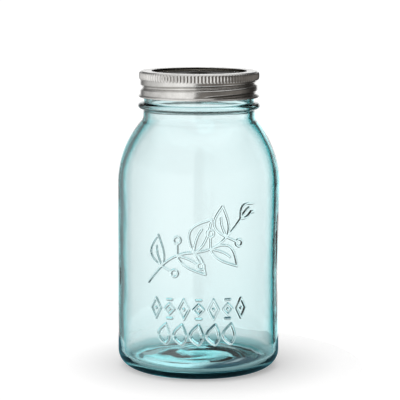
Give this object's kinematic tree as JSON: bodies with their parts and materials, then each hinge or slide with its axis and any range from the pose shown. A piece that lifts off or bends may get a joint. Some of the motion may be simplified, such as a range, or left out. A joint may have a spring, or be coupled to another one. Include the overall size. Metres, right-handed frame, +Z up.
{
  "type": "mason jar",
  "caption": "Round-shouldered glass preserving jar with a threaded neck, a knurled screw band and a flat sealing lid with a snap button.",
  "frame": {"origin": "middle of the ring that the jar stands on, at table height", "axes": "+Z up along the jar's axis, -Y towards the decorated front, +X to the right seen from the front"},
  "size_m": [0.098, 0.0978, 0.1787],
  "materials": {
    "glass": "polished, slightly wavy moulded glass with an aqua tint",
    "band_tinplate": "satin tinplate",
    "lid_tinplate": "satin tinplate, lightly lacquered",
    "sealing_compound": "smooth matt"
  },
  "bodies": {
    "jar": {"glass_jar": "glass"},
    "lid": {"lid_disc": "lid_tinplate", "sealing_ring": "sealing_compound"},
    "button": {"safety_button": "lid_tinplate"},
    "band": {"screw_band": "band_tinplate"}
  },
  "joints": [
    {"name": "lid_lift", "type": "slide", "parent": "jar", "child": "lid", "axis": [0, 0, 1], "range_m": [0, 0.0226]},
    {"name": "band_turn", "type": "hinge", "parent": "lid", "child": "band", "pos_m": [0, 0, 0.1717], "axis": [0, 0, 1], "range_deg": [0, 1440]},
    {"name": "button_press", "type": "slide", "parent": "lid", "child": "button", "axis": [0, 0, 1], "range_m": [-0.0009, 0]}
  ],
  "couplings": [
    {"joint": "lid_lift", "follows": "band_turn", "m_per_rad": 0.00089827}
  ]
}
